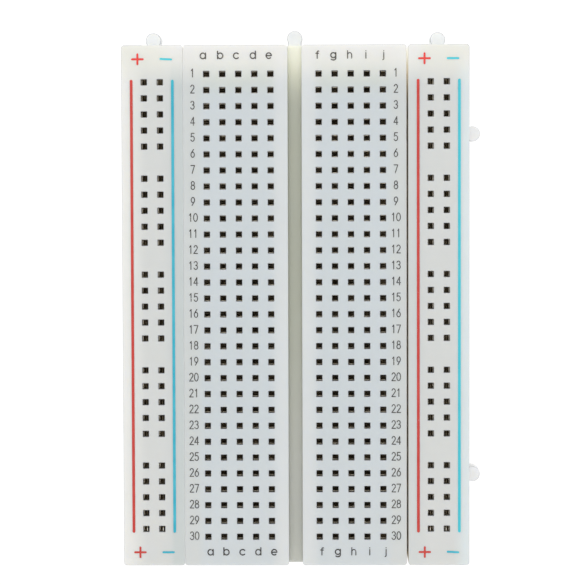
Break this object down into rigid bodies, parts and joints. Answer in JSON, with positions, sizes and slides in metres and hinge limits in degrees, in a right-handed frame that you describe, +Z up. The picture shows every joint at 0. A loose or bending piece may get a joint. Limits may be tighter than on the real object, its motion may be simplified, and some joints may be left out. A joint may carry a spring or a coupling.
{
  "type": "solderless breadboard",
  "caption": "Half-size solderless breadboard: a main block with a centre ravine between two detachable power rails, spring contacts inside and an adhesive foam backing.",
  "frame": {"origin": "centre of the main block's footprint, on the underside of the release liner", "axes": "+X from the left power rail to the right one, +Y along the columns towards row 1, +Z up out of the tie points"},
  "size_m": [0.057, 0.0852, 0.0095],
  "materials": {
    "housing_plastic": "satin moulded",
    "contact_metal": "nickel plated",
    "adhesive_foam": "closed-cell foam",
    "liner_paper": "waxed",
    "red_ink": "pad printed",
    "blue_ink": "pad printed",
    "grey_ink": "pad printed"
  },
  "bodies": {
    "left_rail": {"left_rail_housing": "housing_plastic", "left_positive_bus_strip": "contact_metal", "left_negative_bus_strip": "contact_metal", "left_rail_foam_pad": "adhesive_foam", "left_rail_release_liner": "liner_paper"},
    "main_block": {"main_housing": "housing_plastic", "main_foam_pad": "adhesive_foam", "main_release_liner": "liner_paper", "terminal_clips_row_01": "contact_metal", "terminal_clips_row_02": "contact_metal", "terminal_clips_row_03": "contact_metal", "terminal_clips_row_04": "contact_metal", "terminal_clips_row_05": "contact_metal", "terminal_clips_row_06": "contact_metal", "terminal_clips_row_07": "contact_metal", "terminal_clips_row_08": "contact_metal", "terminal_clips_row_09": "contact_metal", "terminal_clips_row_10": "contact_metal", "terminal_clips_row_11": "contact_metal", "terminal_clips_row_12": "contact_metal", "terminal_clips_row_13": "contact_metal", "terminal_clips_row_14": "contact_metal", "terminal_clips_row_15": "contact_metal", "terminal_clips_row_16": "contact_metal", "terminal_clips_row_17": "contact_metal", "terminal_clips_row_18": "contact_metal", "terminal_clips_row_19": "contact_metal", "terminal_clips_row_20": "contact_metal", "terminal_clips_row_21": "contact_metal", "terminal_clips_row_22": "contact_metal", "terminal_clips_row_23": "contact_metal", "terminal_clips_row_24": "contact_metal", "terminal_clips_row_25": "contact_metal", "terminal_clips_row_26": "contact_metal", "terminal_clips_row_27": "contact_metal", "terminal_clips_row_28": "contact_metal", "terminal_clips_row_29": "contact_metal", "terminal_clips_row_30": "contact_metal"},
    "right_rail": {"right_rail_housing": "housing_plastic", "right_positive_bus_strip": "contact_metal", "right_negative_bus_strip": "contact_metal", "right_rail_foam_pad": "adhesive_foam", "right_rail_release_liner": "liner_paper"}
  },
  "joints": [
    {"name": "main_block_lift", "type": "slide", "parent": "left_rail", "child": "main_block", "axis": [0, 0, 1], "range_m": [0, 0.012]},
    {"name": "right_rail_lift", "type": "slide", "parent": "main_block", "child": "right_rail", "axis": [0, 0, 1], "range_m": [0, 0.012]}
  ]
}
